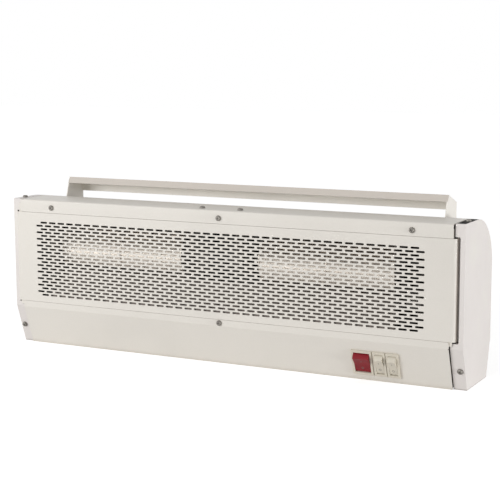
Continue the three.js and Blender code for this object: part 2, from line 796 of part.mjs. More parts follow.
// A cup over each end of the stack, with a boss that holds a sleeve bearing.
function motorBell(side) {
  const open = stackLength / 2 + gap;
  const floor = open + bellDepth;
  const nose = floor + bossLength;
  const bore = shaftRadius + bearingWall + gap;
  const profile = [[bellRadius - bellWall, open], [bellRadius, open], [bellRadius, floor],
    [bossRadius, floor], [bossRadius, nose], [bore, nose], [bore, floor - bellWall],
    [bellRadius - bellWall, floor - bellWall], [bellRadius - bellWall, open]];
  const geometry = turned(profile, bellSides);
  return side > 0 ? geometry : geometry.rotateZ(Math.PI);
}

function motorBearing(side) {
  const near = stackLength / 2 + gap + bellDepth - bellWall;
  const far = near + bellWall + bossLength;
  return ringX(shaftRadius + bearingWall, shaftRadius + gap, Math.min(side * near, side * far),
    Math.max(side * near, side * far), bearingSides);
}

// A bent plate under the top of the casing, with two cheeks that hold the motor's bosses.
function motorMount() {
  const top = height - sheet - gap;
  const reach = mountScrewSpan / 2 + mountEdge;
  const cheekX = stackLength / 2 + gap + bellDepth + gap;
  const cheekReach = cheekX + mountSheet;
  const flange = solid(block(Math.min(motorX - reach, fanX - cheekReach),
    Math.max(motorX + reach, fanX + cheekReach), mountFlangeFrontY, mountFlangeRearY, top - mountSheet, top));
  const ring = bossRadius + gap + cheekRing;
  const cheekOutline = [
    at(cheekFrontY, top),
    at(mountFlangeRearY, top),
    at(mountFlangeRearY, top - cheekFlare),
    at(fanY - ring * Math.sin(cheekTangent), fanZ + ring * Math.cos(cheekTangent)),
    at(fanY - ring * Math.cos(cheekTangent), fanZ - ring * Math.sin(cheekTangent)),
    at(cheekFrontY, fanZ + ring),
  ];
  const parts = [flange];
  for (const side of [-1, 1]) {
    const near = fanX + side * cheekX;
    const far = near + side * mountSheet;
    const eye = rod(ring, mountSheet, new THREE.Vector3((near + far) / 2, fanY, fanZ), unitX, 18);
    parts.push(solid(alongX(cheekOutline, near, far)), solid(eye));
  }
  const bore = rod(bossRadius + gap, 4 * cheekX, new THREE.Vector3(fanX, fanY, fanZ), unitX, 18);
  return fromSolid(cut(joined(...parts), solid(bore), ...mountHoles));
}

// A grommet in the bulkhead's hole, with a groove for the plate.
function bush(side) {
  const groove = bushRadius - gap;
  const rim = bushRadius + bushLip;
  const bore = shaftRadius + bearingWall + gap;
  const [near, far] = side > 0 ? [-gap, sheet + gap] : [-sheet - gap, gap];
  const [from, to] = [near - bushLip, far + bushLip];
  return turned([[bore, from], [rim, from], [rim, near], [groove, near], [groove, far],
    [rim, far], [rim, to], [bore, to], [bore, from]], bearingSides);
}

function sleeveBearing(side) {
  const low = (side > 0 ? 0 : -sheet) - gap - bearingOverhang;
  const high = low + sheet + 2 * (gap + bearingOverhang);
  return ringX(shaftRadius + bearingWall, shaftRadius + gap, low, high, bearingSides);
}

function motorShaft() {
  const from = bulkheadX.left - fanX - shaftOverhang;
  const to = bulkheadX.right - fanX + shaftOverhang;
  const tip = shaftRadius - shaftEase;
  return turned([[0, from], [tip, from], [shaftRadius, from + shaftEase],
    [shaftRadius, to - shaftEase], [tip, to], [0, to]], shaftSides);
}

// ---------------------------------------------------------------- switches

// Built in the apron's frame: Y goes into the casing from the outer face, Z up the slope.
function switchBody(bezelWidth) {
  const wide = bezelWidth / 2;
  const long = switchLength / 2;
  const faceY = -gap - bezelHeight;
  const bezel = solid(block(-wide, wide, faceY, -gap, -long, long));
  const [boxWide, boxLong] = [wide - bezelBorder + switchWall, long - bezelBorder + switchWall];
  const box = solid(block(-boxWide, boxWide, faceY / 2, switchDepth, -boxLong, boxLong));
  const [wellWide, wellLong] = [wide - bezelBorder, long - bezelBorder];
  const wellFloorY = switchDepth - switchFloor;
  const well = solid(block(-wellWide, wellWide, faceY - 1, wellFloorY, -wellLong, wellLong));
  const pivotY = faceY + rockerPivotDepth;
  const trunnion = rod(trunnionRadius + gap, 4 * wide, new THREE.Vector3(0, pivotY, 0), unitX);
  const reach = boxWide - trunnionSkin;
  const span = 2 * trunnionRadius;
  const inside = solid(block(-reach, reach, pivotY - span, pivotY + span, -span, span));
  const { width: blade, thickness, length, pitch } = terminal;
  const terminals = [-pitch, 0, pitch].map((z) => solid(block(-blade / 2, blade / 2,
    switchDepth - switchFloor / 2, switchDepth + length, z - thickness / 2, z + thickness / 2)));
  const holes = solid(trunnion).intersect(inside);
  return fromSolid(joined(cut(joined(bezel, box), well, holes), ...terminals));
}

// The button: its ends are arcs about the pivot, so they keep their gap at every angle.
function rocker(bezelWidth) {
  const tip = rockerTipAngle;
  const heel = 90 + THREE.MathUtils.radToDeg(Math.asin(rockerHeel / rockerRadius));
  const dishY = rockerRadius * Math.cos(THREE.MathUtils.degToRad(tip)) - rockerDish;
  // Angles from the outward normal: the section is drawn in (slope, outward).
  const end = (sign) => Array.from({ length: 5 }, (_, i) => {
    const angle = THREE.MathUtils.degToRad(tip + ((heel - tip) * i) / 4);
    return at(sign * rockerRadius * Math.sin(angle), rockerRadius * Math.cos(angle));
  });
  const section = [...end(1), ...end(-1).reverse(), at(0, dishY)];
  const wide = bezelWidth / 2 - bezelBorder - gap;
  const button = extrusion(section, 2 * wide).translate(0, 0, -wide);
  const toSlope = axes(unitZ, unitY.clone().negate(), unitX);
  button.applyMatrix4(toSlope);
  const axleReach = wide + gap + switchWall - trunnionSkin - gap;
  const axle = rod(trunnionRadius, 2 * axleReach, new THREE.Vector3(), unitX);
  const pivoted = fromSolid(joined(solid(button), solid(axle)));
  return pivoted.rotateX(THREE.MathUtils.degToRad(rockerTilt));
}

// ---------------------------------------------------------------- wiring

function terminalBlock() {
  const { thick, long, high, pitch, boreRadius } = terminalBlockSize;
  const body = solid(block(0, thick, 0, long, 0, high));
  const bores = [-pitch, 0, pitch].map((y) => {
    const middle = new THREE.Vector3(thick / 2, long / 2 + y, high / 2);
    return solid(rod(boreRadius, 2 * high, middle, unitZ, elementSides));
  });
  return fromSolid(cut(body, ...bores));
}

// A round can with a stepped cap and two blade terminals.
function thermalCutout() {
  const { radius, high, capRadius, capHigh, step } = cutoutSize;
  const can = solid(turned([[0, 0], [radius, 0], [radius, high - step], [capRadius, high],
    [capRadius, high + capHigh], [0, high + capHigh]], shaftSides));
  const { width: blade, thickness, length } = terminal;
  const root = high + capHigh / 2;
  const blades = [-1, 1].map((side) => {
    const y = side * capRadius * 0.6;
    return solid(block(root, root + length, y - thickness / 2, y + thickness / 2, -blade / 2, blade / 2));
  });
  return fromSolid(joined(can, ...blades));
}

// A pan-head screw along +Y, its head's seat at the origin.
function screwSolid(length) {
  const [head, rise] = [screwHeadRadius, screwHeadHeight];
  const profile = [at(0, -length), at(screwShankRadius, -length), at(screwShankRadius, 0), at(head, 0),
    at(head * screwCrownShare, rise), at(0, rise)];
  return new THREE.LatheGeometry(profile, screwSides);
}

// ---------------------------------------------------------------- assembly

const unit = new THREE.Group();

function place(parent, name, geometry, material) {
  const mesh = new THREE.Mesh(geometry, materials[material]);
  mesh.name = name;
  parent.add(mesh);
  return mesh;
}

place(unit, 'casing_shell', casingShell(), 'paint');
place(unit, 'intake_grille', intakeGrille(), 'paint');
place(unit, 'apron', apron(), 'paint');
place(unit, 'outlet_grille', outletGrille(), 'paint');
place(unit, 'hanging_bar', hangingBar(), 'paint');
place(unit, 'cable_seal', cableSeal(), 'rubber');
for (const [name, side] of [['left', -1], ['right', 1]]) {
  place(unit, `end_cap_${name}`, endCap(name, side), 'plastic');
  place(unit, `end_plate_${name}`, endPlate(name, side), 'galvanised');
  place(unit, `bulkhead_${name}`, bulkhead(name, side), 'galvanised');
}
place(unit, 'scroll_casing', ductWall(scrollPath()), 'galvanised');
place(unit, 'duct_tongue', ductWall(tonguePath()), 'galvanised');
place(unit, 'element_support', elementSupport(), 'galvanised');
place(unit, 'heating_element_front', heatingElement(elementY[0]), 'element');
place(unit, 'heating_element_rear', heatingElement(elementY[1]), 'element');
place(unit, 'motor_mount', motorMount(), 'galvanised');

const fan = new THREE.Group();
fan.position.set(fanX, fanY, fanZ);
unit.add(fan);
place(fan, 'motor_shaft', motorShaft(), 'steel');
const rotor = ringX(rotorRadius, shaftRadius + gap, -stackLength / 2, stackLength / 2, rotorSides);
place(fan, 'motor_rotor', rotor, 'lamination');
place(fan, 'stator_stack', statorStack(), 'lamination');
for (const [name, side] of [['left', -1], ['right', 1]]) {
  place(fan, `winding_${name}`, winding(side), 'copper');
  place(fan, `motor_bell_${name}`, motorBell(side), 'aluminium');
  place(fan, `motor_bearing_${name}`, motorBearing(side), 'bronze');
  const wheel = place(fan, `impeller_${name}`, impeller(), 'aluminium');
  wheel.position.x = side * (motorBay + impellerLength) / 2;
  const bearingX = bulkheadX[name] - fanX;
  place(fan, `bush_${name}`, bush(side), 'rubber').position.x = bearingX;
  place(fan, `shaft_bearing_${name}`, sleeveBearing(side), 'bronze').position.x = bearingX;
}

const slope = new THREE.Group();
slope.position.z = apronBendZ;
slope.rotation.x = apronAngle;
unit.add(slope);
for (const { name, x, width: bezelWidth, paint } of switches) {
  const seat = new THREE.Group();
  seat.position.set(x, 0, -switchSlope);
  slope.add(seat);
  place(seat, `switch_body_${name}`, switchBody(bezelWidth), 'cream');
  place(seat, `rocker_${name}`, rocker(bezelWidth), paint).position.y = rockerPivotDepth - gap - bezelHeight;
}

const bay = bulkheadX.right + sheet + gap;
const terminals = place(unit, 'terminal_block', terminalBlock(), 'ceramic');
terminals.position.set(bay, terminalBlockPlace.y, terminalBlockPlace.z);
const cutout = place(unit, 'thermal_cutout', thermalCutout(), 'ceramic');
cutout.position.set(bay, depth - cutoutPlace.rearInset, cutoutPlace.z);

for (const { name, seat, direction, length } of screws) {
  const screw = place(unit, name, screwSolid(length), 'steel');
  screw.position.copy(seat).addScaledVector(direction, gap);
  screw.quaternion.setFromUnitVectors(unitY, direction);
}

// The row's origin is under the middle of the whole unit, so it is shifted back by half its depth.
const model = new THREE.Group();
unit.position.y = -(depth - screwHeadHeight - gap) / 2;
model.add(unit);

export default model;
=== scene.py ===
"""The look of an over-door air curtain around its packed construction. Metres, +Z up.

X runs along the width, Y from the intake panel towards the wall.
"""

import json
import math

import bmesh
import bpy
from mathutils import Matrix, Vector


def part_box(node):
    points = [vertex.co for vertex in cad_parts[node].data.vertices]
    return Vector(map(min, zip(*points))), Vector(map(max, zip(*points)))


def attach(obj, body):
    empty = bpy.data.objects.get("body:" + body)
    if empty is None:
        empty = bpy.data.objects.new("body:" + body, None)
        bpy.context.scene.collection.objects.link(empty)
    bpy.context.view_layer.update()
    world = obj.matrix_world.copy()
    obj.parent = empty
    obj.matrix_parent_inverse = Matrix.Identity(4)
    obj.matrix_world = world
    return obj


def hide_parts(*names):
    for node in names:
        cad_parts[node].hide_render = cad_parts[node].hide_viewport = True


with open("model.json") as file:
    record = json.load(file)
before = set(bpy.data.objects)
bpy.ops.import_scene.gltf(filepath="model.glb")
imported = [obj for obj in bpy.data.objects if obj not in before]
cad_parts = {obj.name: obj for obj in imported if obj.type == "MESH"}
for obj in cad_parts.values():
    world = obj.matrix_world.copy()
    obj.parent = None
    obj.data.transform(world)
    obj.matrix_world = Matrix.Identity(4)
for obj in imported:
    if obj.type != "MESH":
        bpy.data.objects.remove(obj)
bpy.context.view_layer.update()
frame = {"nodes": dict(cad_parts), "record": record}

MM = 0.001
UP = Vector((0, 0, 1))
FORWARD = Vector((0, -1, 0))

# ------------------------------------------------------------------ sizes in mm, angles in degrees

SHEET = 1.0
GAP = 0.3
FRONT_Y = -50.3
APRON_TOP = 57.0
BAND_LOW = 172.0

# Corners closer than this are one: in the slotted field, in a node's copy, on a turned piece
FIELD_JOIN = 0.01
COPY_JOIN = 0.004
TURNED_JOIN = 0.001

# Edges: the steepest turn that is shaded smooth, the least one that is rounded, and the one
# below which two triangles of a node are one flat face
SMOOTH_ANGLE = 35
HEAD_SMOOTH_ANGLE = 30
ROUNDED_ANGLE = 40
FLAT_ANGLE = 0.4

# Intake panel, with the slots in a brick pattern and one more in every second row
SLOT_PITCH = 13.05
ROW_PITCH = 4.21
ROWS = 23
SLOTS = 39
SLOT_LENGTH = 10.3
SLOT_HEIGHT = 2.4
SLOT_SIDES = 10
FIELD_X = -4.3
FIELD_Z = 113.0
PANEL_BEND = 3.5
PANEL_BEND_STEPS = 6
LAP_BACK = 1.3
FRONT_SHARE = 0.9  # of a normal along Y, on the flat front
BARE_SHARE = 0.5  # of a normal along Y, on the bare inner face

# How far the apron's ends are cut back, left and right, and how deep an end's faces lie
APRON_RELIEF = (1.0, 0.45)
APRON_END = 1.2

# The upward share of a normal that sets the bar's lip and top, painted darker as painted shade,
# off from its other faces, painted lighter as painted light
BAR_UPPER_SHARE = 0.3

# Fan wheels
BLADES = 30
BLADE_SHEET = 0.5
BLADE_ARC_RADIUS = 10.0
BLADE_ARC = 64
BLADE_ARC_STEPS = 4
BLADE_TIP_ANGLE = 3
TIP_INSET = 0.3
WHEEL_DISCS = 3
DISC_SHEET = 1.2
HUB_RADIUS = 8.0
HUB_LENGTH = 8.0
HUB_GAP = 0.1
SHAFT_RADIUS = 4.3

# Heating rods
ROD_SIDES = 16
ROD_BEND_STEPS = 20

# Screws, with the head's profile as (share of the radius, rise)
HEAD_RADIUS = 3.3
HEAD_RISE = 2.1
HEAD_PROFILE = ((1.0, 0.0), (1.0, 0.7), (0.94, 1.3), (0.82, 1.75), (0.68, HEAD_RISE))
HEAD_EDGE_BAND = 0.01
CROWN_BAND = 0.05
CROSS_REACH = 1.75
CROSS_HALF = 0.42
CROSS_DEPTH = 1.2
CROSS_TAPER = 0.6
SHANK_RADIUS = 1.6
POINT_RADIUS = 0.4
POINT_LENGTH = 1.5
TURN_BETWEEN_SCREWS = 37
TAB_ANGLES = {"1": 58, "2": 30}  # how far the bar's tabs look up, by screw

# Switches, with the dash's width and height and the ring's inner and outer radius
APRON_SLOPE = math.atan2(17.0, 49.0)  # in radians: 17 back over a height of 49
PAD_SHARE = 0.6  # of a pad's normal across the apron
ROCKER_EDGE = 0.55
MARK_RISE = 0.12
DASH = (0.5, 2.6)
RING = (1.0, 1.45)

# Steps of a full turn
ROUND_STEPS = 32
SMALL_ROUND_STEPS = 24
SHANK_STEPS = 12

# ------------------------------------------------------------------ meshes


def to_object(name, bm, material, body="housing", replaces=(), smooth_angle=SMOOTH_ANGLE):
    """A finished piece from a bmesh in millimetres."""
    bmesh.ops.transform(bm, matrix=Matrix.Scale(MM, 4), verts=bm.verts)
    mesh = bpy.data.meshes.new(name)
    bm.to_mesh(mesh)
    bm.free()
    mesh.materials.append(material)
    mesh.shade_smooth()
    mesh.set_sharp_from_angle(angle=math.radians(smooth_angle))
    piece = bpy.data.objects.new(name, mesh)
    bpy.context.scene.collection.objects.link(piece)
    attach(piece, body)
    if replaces:
        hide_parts(*replaces)
    return piece


def soften(piece, width, segments):
    """Small rounded edges, with flat faces kept flat in the shading."""
    bevel = piece.modifiers.new("edges", "BEVEL")
    bevel.width = width * MM
    bevel.segments = segments
    bevel.limit_method = "ANGLE"
    bevel.angle_limit = math.radians(ROUNDED_ANGLE)
    weight_normals(piece)


def weight_normals(piece):
    normals = piece.modifiers.new("normals", "WEIGHTED_NORMAL")
    normals.keep_sharp = True


def verts_in(items):
    return [item for item in items if isinstance(item, bmesh.types.BMVert)]


def edges_in(items):
    return [item for item in items if isinstance(item, bmesh.types.BMEdge)]


def closed_loop(bm, places):
    """New corners and the edges that join them in a ring."""
    verts = [bm.verts.new(place) for place in places]
    edges = [bm.edges.new(pair) for pair in zip(verts, verts[1:] + verts[:1])]
    return verts, edges


def outwards(bm):
    bmesh.ops.recalc_face_normals(bm, faces=bm.faces)
    return bm


# ------------------------------------------------------------------ shader nodes

# The sockets of a Mix node that blends colours
MIX_FACTOR, MIX_FIRST, MIX_SECOND, MIX_RESULT = 0, 6, 7, 2


def new_material(name):
    material = bpy.data.materials.new(name)
    material.use_nodes = True
    tree = material.node_tree
    shader = tree.nodes["Principled BSDF"]
    coordinates = tree.nodes.new("ShaderNodeTexCoord")
    return material, tree, shader, coordinates.outputs["Object"]


def noise(tree, vector, scale, detail=4.0, roughness=0.5):
    node = tree.nodes.new("ShaderNodeTexNoise")
    node.inputs["Scale"].default_value = scale
    node.inputs["Detail"].default_value = detail
    node.inputs["Roughness"].default_value = roughness
    tree.links.new(vector, node.inputs["Vector"])
    return node.outputs["Fac"]


def ramp(tree, value, stops):
    """Colours between the stops, each (place, colour)."""
    node = tree.nodes.new("ShaderNodeValToRGB")
    elements = node.color_ramp.elements
    while len(elements) < len(stops):
        elements.new(0.5)
    for element, (place, colour) in zip(elements, stops):
        element.position = place
        element.color = (*colour, 1.0)
    tree.links.new(value, node.inputs["Fac"])
    return node.outputs["Color"]


def to_range(tree, value, low, high, from_low=0.3, from_high=0.7):
    """The value's range, by default that of a noise, spread between low and high."""
    node = tree.nodes.new("ShaderNodeMapRange")
    node.inputs["From Min"].default_value = from_low
    node.inputs["From Max"].default_value = from_high
    node.inputs["To Min"].default_value = low
    node.inputs["To Max"].default_value = high
    tree.links.new(value, node.inputs["Value"])
    return node.outputs["Result"]


def multiplied(tree, factor, first, second):
    """The first colour times the second, as far as the factor says."""
    node = tree.nodes.new("ShaderNodeMix")
    node.data_type = "RGBA"
    node.blend_type = "MULTIPLY"
    node.inputs[MIX_FACTOR].default_value = factor
    tree.links.new(first, node.inputs[MIX_FIRST])
    tree.links.new(second, node.inputs[MIX_SECOND])
    return node.outputs[MIX_RESULT]


def bump(tree, shader, heights):
    """One bump node over another, each (height, strength, distance in mm)."""
    normal = None
    for height, strength, distance in heights:
        node = tree.nodes.new("ShaderNodeBump")
        node.inputs["Strength"].default_value = strength
        node.inputs["Distance"].default_value = distance * MM
        tree.links.new(height, node.inputs["Height"])
        if normal:
            tree.links.new(normal, node.inputs["Normal"])
        normal = node.outputs["Normal"]
    tree.links.new(normal, shader.inputs["Normal"])


def closeness(tree, reach):
    """1 in the open, less where a surface stands within the reach in millimetres."""
    corner = tree.nodes.new("ShaderNodeAmbientOcclusion")
    corner.inputs["Distance"].default_value = reach * MM
    corner.samples = 6
    return corner.outputs["AO"]


def srgb(*values):
    """An 8-bit colour as the shader's linear one."""
    shares = [value / 255 for value in values]
    return tuple(s / 12.92 if s <= 0.04045 else ((s + 0.055) / 1.055) ** 2.4 for s in shares)


def shaded(colour, factor):
    return tuple(value * factor for value in colour)


# ------------------------------------------------------------------ materials

WHITE = (1, 1, 1)
# Tint where another surface stands close to the paint: dust and painted shade in the corners
DUST_AND_SHADE = (0.80, 0.77, 0.73)
# Tint where another surface stands close to the caps: dirt and painted shade in the seams
SEAM_DIRT_AND_SHADE = (0.30, 0.27, 0.25)
FLECK = (0.97, 0.97, 0.96)
DULL_FLAKE = (0.72, 0.72, 0.74)


def powder_coat(name, base, dust_and_shade_share):
    """Polyester powder: a faint orange peel, slow colour drift, and dust and painted shade in the
    corners.
    """
    material, tree, shader, place = new_material(name)
    drift = ramp(tree, noise(tree, place, 9.0, detail=3.0), [
        (0.3, shaded(base, 0.965)), (0.5, base), (0.72, shaded(base, 1.01))])
    fleck = ramp(tree, noise(tree, place, 900.0, detail=2.0), [(0.35, FLECK), (0.6, WHITE)])
    coat = multiplied(tree, 0.6, drift, fleck)
    # Darker where another surface stands within 6 mm: dust and painted shade in the corners
    dust_and_shade = ramp(tree, closeness(tree, 6), [(0.35, DUST_AND_SHADE), (0.85, WHITE)])
    tree.links.new(multiplied(tree, dust_and_shade_share, coat, dust_and_shade), shader.inputs["Base Color"])
    gloss = to_range(tree, noise(tree, place, 60.0), 0.36, 0.46)
    tree.links.new(gloss, shader.inputs["Roughness"])
    peel = noise(tree, place, 700.0, detail=2.0, roughness=0.4)
    wave = noise(tree, place, 30.0, detail=2.0, roughness=0.4)
    bump(tree, shader, [(wave, 0.12, 0.4), (peel, 0.22, 0.05)])
    return material


def cap_plastic():
    """Moulded end caps: slightly cooler, finely spark-eroded, with dirt and painted shade in the
    seams.
    """
    material, tree, shader, place = new_material("cap plastic")
    base = srgb(232, 226, 222)
    drift = ramp(tree, noise(tree, place, 14.0, detail=3.0), [
        (0.3, shaded(base, 0.97)), (0.55, base), (0.75, srgb(234, 230, 222))])
    # Darker where another surface stands within 2.5 mm: dirt and painted shade in the seams
    dirt_and_shade = ramp(tree, closeness(tree, 2.5), [(0.3, SEAM_DIRT_AND_SHADE), (0.75, WHITE)])
    tree.links.new(multiplied(tree, 0.9, drift, dirt_and_shade), shader.inputs["Base Color"])
    gloss = to_range(tree, noise(tree, place, 80.0), 0.42, 0.54)
    tree.links.new(gloss, shader.inputs["Roughness"])
    grain = noise(tree, place, 1500.0, detail=2.0, roughness=0.6)
    bump(tree, shader, [(grain, 0.25, 0.04)])
    return material


def metal(name, colour, roughness, brushed=(1, 1, 1), spangle=None, dark=0.75):
    """Bare metal, with its grain along one axis or its zinc spangle."""
    material, tree, shader, place = new_material(name)
    shader.inputs["Metallic"].default_value = 1.0
    mapping = tree.nodes.new("ShaderNodeMapping")
    mapping.inputs["Scale"].default_value = brushed
    tree.links.new(place, mapping.inputs["Vector"])
    grain = noise(tree, mapping.outputs["Vector"], 220.0, detail=5.0, roughness=0.65)
    tint = ramp(tree, grain, [(0.3, shaded(colour, dark)), (0.65, colour)])
    if spangle:
        cells = tree.nodes.new("ShaderNodeTexVoronoi")
        cells.inputs["Scale"].default_value = spangle
        tree.links.new(place, cells.inputs["Vector"])
        flake = ramp(tree, cells.outputs["Color"], [(0.0, DULL_FLAKE), (1.0, WHITE)])
        tint = multiplied(tree, 0.55, tint, flake)
    tree.links.new(tint, shader.inputs["Base Color"])
    gloss = to_range(tree, grain, roughness - 0.07, roughness + 0.09)
    tree.links.new(gloss, shader.inputs["Roughness"])
    bump(tree, shader, [(grain, 0.15, 0.03)])
    return material


def moulding(name, colour, roughness, grain_scale=900.0, dark=0.9, specular=0.5):
    """A small moulded or rubber part."""
    material, tree, shader, place = new_material(name)
    shader.inputs["Specular IOR Level"].default_value = specular
    cloud = noise(tree, place, 90.0, detail=3.0)
    tint = ramp(tree, cloud, [(0.3, shaded(colour, dark)), (0.6, colour)])
    tree.links.new(tint, shader.inputs["Base Color"])
    gloss = to_range(tree, cloud, roughness - 0.05, roughness + 0.07)
    tree.links.new(gloss, shader.inputs["Roughness"])
    grain = noise(tree, place, grain_scale, detail=2.0)
    bump(tree, shader, [(grain, 0.2, 0.03)])
    return material


FINISHES = {
    "paint": powder_coat("powder coat", srgb(231, 226, 218), dust_and_shade_share=0.7),
    "plastic": cap_plastic(),
    "galvanised": metal("zinc-coated sheet", srgb(144, 135, 128), 0.6, spangle=160.0),
    "steel": metal("zinc-plated steel", srgb(138, 134, 128), 0.46),
    "aluminium": metal("rolled aluminium", srgb(236, 226, 214), 0.42,
                       brushed=(0.05, 1, 1), dark=0.88),
    "lamination": metal("electrical steel", srgb(70, 68, 66), 0.6, brushed=(12, 0.4, 0.4)),
    "copper": metal("varnished copper", srgb(132, 80, 50), 0.5, brushed=(6, 1, 1)),
    "element": metal("oxidised sheath", srgb(96, 90, 84), 0.5),
    "rubber": moulding("black rubber", srgb(44, 42, 40), 0.8,
                       grain_scale=600.0, dark=0.75, specular=0.2),
    "bronze": metal("sintered bronze", srgb(186, 148, 92), 0.42),
    "ceramic": moulding("steatite", srgb(226, 222, 210), 0.55),
    "red": moulding("red rocker", srgb(138, 24, 34), 0.34,
                    grain_scale=700.0, dark=0.85, specular=0.25),
    "cream": moulding("cream rocker", srgb(222, 215, 200), 0.4,
                      grain_scale=700.0, dark=0.95, specular=0.3),
}
# Two copies of the bar's paint: a darker one for its lip and top as painted shade, and a lighter
# one with almost no corner darkening for its other faces as painted light
BAR_PAINT_PAINTED_SHADE = powder_coat("bar paint, painted shade on lip and top", srgb(214, 206, 197), dust_and_shade_share=0.2)
BAR_PAINT_PAINTED_LIGHT = powder_coat("bar paint, painted light on lower faces", srgb(246, 242, 235), dust_and_shade_share=0.05)
CAST_ALUMINIUM = metal("cast aluminium", srgb(92, 88, 84), 0.6)
MARK_INK = moulding("marking ink", srgb(120, 116, 110), 0.5)

slot_of = {part["node"]: part["material_slot"] for part in frame["record"]["subparts"]}
for node, piece in frame["nodes"].items():
    piece.data.materials.clear()
    cast = node.startswith("motor_bell")
    piece.data.materials.append(CAST_ALUMINIUM if cast else FINISHES[slot_of[node]])

# ------------------------------------------------------------------ intake panel


def slotted_tile():
    """One slot in its brick of sheet, in the plane Y = 0. The brick's long sides have a middle
    point, where the bricks of the next row meet."""
    bm = bmesh.new()
    half_side = math.radians(180 / SLOT_SIDES)
    radius = SLOT_HEIGHT / 2 / math.cos(half_side)
    upright = Matrix.Rotation(math.radians(90), 4, "X")
    slot = bmesh.ops.create_circle(bm, cap_ends=False, segments=SLOT_SIDES, radius=radius,
                                   matrix=upright)["verts"]
    bmesh.ops.rotate(bm, verts=slot, matrix=Matrix.Rotation(half_side, 3, "Y"))
    for side in (-1, 1):
        half = [vert for vert in slot if vert.co.x * side > 0]
        bmesh.ops.translate(bm, verts=half, vec=(side * (SLOT_LENGTH / 2 - radius), 0, 0))
    x, z = SLOT_PITCH / 2, ROW_PITCH / 2
    corners = ((-x, -z), (0, -z), (x, -z), (x, z), (0, z), (-x, z))
    closed_loop(bm, [(across, 0, along) for across, along in corners])
    bmesh.ops.triangle_fill(bm, use_beauty=True, edges=bm.edges)
    return bm


def lay_rows(bm):
    """The field of bricks, with half a brick of plain sheet at both ends of a shorter row."""
    tile = slotted_tile()
    brick = bpy.data.meshes.new("brick")
    tile.to_mesh(brick)
    tile.free()
    for row in range(ROWS):
        longer = row % 2
        z = FIELD_Z + ((ROWS - 1) / 2 - row) * ROW_PITCH
        count = SLOTS + longer
        for i in range(count):
            before = len(bm.verts)
            bm.from_mesh(brick)
            bm.verts.ensure_lookup_table()
            x = FIELD_X + (i - (count - 1) / 2) * SLOT_PITCH
            bmesh.ops.translate(bm, verts=bm.verts[before:], vec=(x, FRONT_Y, z))
        if not longer:
            for side in (-1, 1):
                inner = FIELD_X + side * SLOTS * SLOT_PITCH / 2
                outer = inner + side * SLOT_PITCH / 2
                ring = [(inner, -1), (outer, -1), (outer, 1), (inner, 1)]
                bm.faces.new([bm.verts.new((x, FRONT_Y, z + v * ROW_PITCH / 2)) for x, v in ring])
    bpy.data.meshes.remove(brick)
    bmesh.ops.remove_doubles(bm, verts=bm.verts, dist=FIELD_JOIN)


def field_rim(bm):
    """The edges round the whole field."""
    half_width = (SLOTS + 1) * SLOT_PITCH / 2
    half_height = ROWS * ROW_PITCH / 2

    def on_rim(vert):
        return (abs(abs(vert.co.x - FIELD_X) - half_width) < FIELD_JOIN
                or abs(abs(vert.co.z - FIELD_Z) - half_height) < FIELD_JOIN)

    return [edge for edge in bm.edges
            if edge.is_boundary and all(on_rim(vert) for vert in edge.verts)]


def fold_back(bm, edge, side, fold_x, rear):
    """The panel's side turns back round a vertical axis and runs on to the rear."""
    fold = bmesh.ops.spin(bm, geom=[edge], cent=(fold_x, FRONT_Y + PANEL_BEND, 0), axis=UP,
                          angle=side * math.radians(90), steps=PANEL_BEND_STEPS)
    flange = bmesh.ops.extrude_edge_only(bm, edges=edges_in(fold["geom_last"]))
    bmesh.ops.translate(bm, verts=verts_in(flange["geom"]),
                        vec=(0, rear - FRONT_Y - PANEL_BEND, 0))


def step_behind(bm, edge, reach):
    """The panel's edge steps back and runs on, up or down, behind the sheet beside it."""
    step = bmesh.ops.extrude_edge_only(bm, edges=[edge])
    bmesh.ops.translate(bm, verts=verts_in(step["geom"]), vec=(0, LAP_BACK, 0))
    lap = bmesh.ops.extrude_edge_only(bm, edges=edges_in(step["geom"]))
    bmesh.ops.translate(bm, verts=verts_in(lap["geom"]), vec=(0, 0, reach))


def intake_panel():
    """The slotted panel, one folded sheet: painted in front, bare inside."""
    low, high = (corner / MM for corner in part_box("intake_grille"))
    bm = bmesh.new()
    lay_rows(bm)
    rim = field_rim(bm)
    bottom, top = APRON_TOP + GAP, BAND_LOW - GAP
    left, right = low.x + PANEL_BEND, high.x - PANEL_BEND
    corners = ((left, bottom), (right, bottom), (right, top), (left, top))
    border = closed_loop(bm, [(x, FRONT_Y, z) for x, z in corners])[1]
    bmesh.ops.triangle_fill(bm, use_beauty=True, edges=rim + border)
    lower, right_side, upper, left_side = border
    fold_back(bm, right_side, 1, right, high.y)
    fold_back(bm, left_side, -1, left, high.y)
    step_behind(bm, upper, high.z - top)
    step_behind(bm, lower, low.z - bottom)
    bmesh.ops.recalc_face_normals(bm, faces=bm.faces)
    front = next(face for face in bm.faces if abs(face.normal.y) > FRONT_SHARE)
    if front.normal.y > 0:
        bmesh.ops.reverse_faces(bm, faces=bm.faces)
    bmesh.ops.solidify(bm, geom=bm.faces, thickness=SHEET)
    for face in bm.faces:
        behind = face.calc_center_median().y > FRONT_Y + SHEET / 2
        face.material_index = int(behind and face.normal.y > BARE_SHARE)
    piece = to_object("intake_panel", bm, FINISHES["paint"], replaces=["intake_grille"])
    piece.data.materials.append(FINISHES["galvanised"])
    weight_normals(piece)


intake_panel()

# ------------------------------------------------------------------ softened pieces


def copy_of(node):
    """The node's own shape in millimetres, with shared corners joined and flat faces whole."""
    bm = bmesh.new()
    bm.from_mesh(frame["nodes"][node].data)
    bmesh.ops.transform(bm, matrix=Matrix.Scale(1 / MM, 4), verts=bm.verts)
    bmesh.ops.remove_doubles(bm, verts=bm.verts, dist=COPY_JOIN)
    bmesh.ops.dissolve_limit(bm, angle_limit=math.radians(FLAT_ANGLE),
                             use_dissolve_boundaries=False,
                             verts=bm.verts, edges=bm.edges, delimit=set())
    return bm


